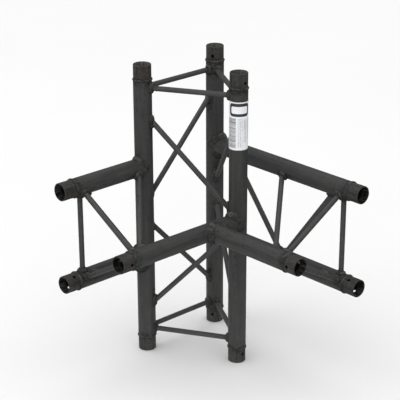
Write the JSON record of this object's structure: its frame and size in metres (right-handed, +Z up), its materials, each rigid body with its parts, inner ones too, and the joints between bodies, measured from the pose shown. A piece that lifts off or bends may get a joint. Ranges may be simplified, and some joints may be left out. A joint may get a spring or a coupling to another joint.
{
  "type": "lighting truss corner",
  "caption": "Corner section of triangular lighting truss in black tube: an upright column with horizontal arms at right angles, thin bracing struts and a socket on every open tube end.",
  "frame": {"origin": "centre line of the upright column's triangle, in the plane of its lower coupler faces", "axes": "+Z up along the column, -Y along the left arm, +X along the right arm"},
  "size_m": [0.4058, 0.4058, 0.584],
  "materials": {
    "main_tube": "satin black powder coat, fine grain",
    "strut": "satin black powder coat, fine grain",
    "coupler": "satin black coat over turned metal, faint tool marks",
    "weld": "rippled weld bead under satin black powder coat",
    "label": "matt printed sticker"
  },
  "bodies": {
    "root": {"column_left_chord": "main_tube", "column_back_chord": "main_tube", "column_front_chord": "main_tube", "left_arm_top_chord": "main_tube", "left_arm_bottom_chord": "main_tube", "left_arm_front_chord": "main_tube", "right_arm_top_chord": "main_tube", "right_arm_bottom_chord": "main_tube", "right_arm_front_chord": "main_tube", "column_bottom_left_coupler": "coupler", "column_bottom_back_coupler": "coupler", "column_bottom_front_coupler": "coupler", "column_top_left_coupler": "coupler", "column_top_back_coupler": "coupler", "column_top_front_coupler": "coupler", "left_arm_top_coupler": "coupler", "left_arm_bottom_coupler": "coupler", "left_arm_front_coupler": "coupler", "right_arm_top_coupler": "coupler", "right_arm_bottom_coupler": "coupler", "right_arm_front_coupler": "coupler", "column_bottom_strut_front_left": "strut", "column_top_strut_front_left": "strut", "column_upper_diagonal_front_left": "strut", "column_lower_diagonal_front_left": "strut", "column_bottom_strut_left_back": "strut", "column_top_strut_left_back": "strut", "column_upper_diagonal_left_back": "strut", "column_lower_diagonal_left_back": "strut", "column_bottom_strut_back_front": "strut", "column_top_strut_back_front": "strut", "column_upper_diagonal_back_front": "strut", "column_lower_diagonal_back_front": "strut", "left_arm_end_strut_top_bottom": "strut", "left_arm_end_strut_top_front": "strut", "left_arm_end_strut_front_bottom": "strut", "left_arm_diagonal_top_front": "strut", "left_arm_diagonal_bottom_top": "strut", "left_arm_diagonal_front_bottom": "strut", "right_arm_end_strut_top_bottom": "strut", "right_arm_end_strut_top_front": "strut", "right_arm_end_strut_front_bottom": "strut", "right_arm_diagonal_top_front": "strut", "right_arm_diagonal_bottom_top": "strut", "right_arm_diagonal_front_bottom": "strut", "right_arm_inner_diagonal_top_bottom": "strut", "coupler_weld_beads": "weld", "chord_joint_welds": "weld", "label_sticker": "label"}
  },
  "joints": []
}
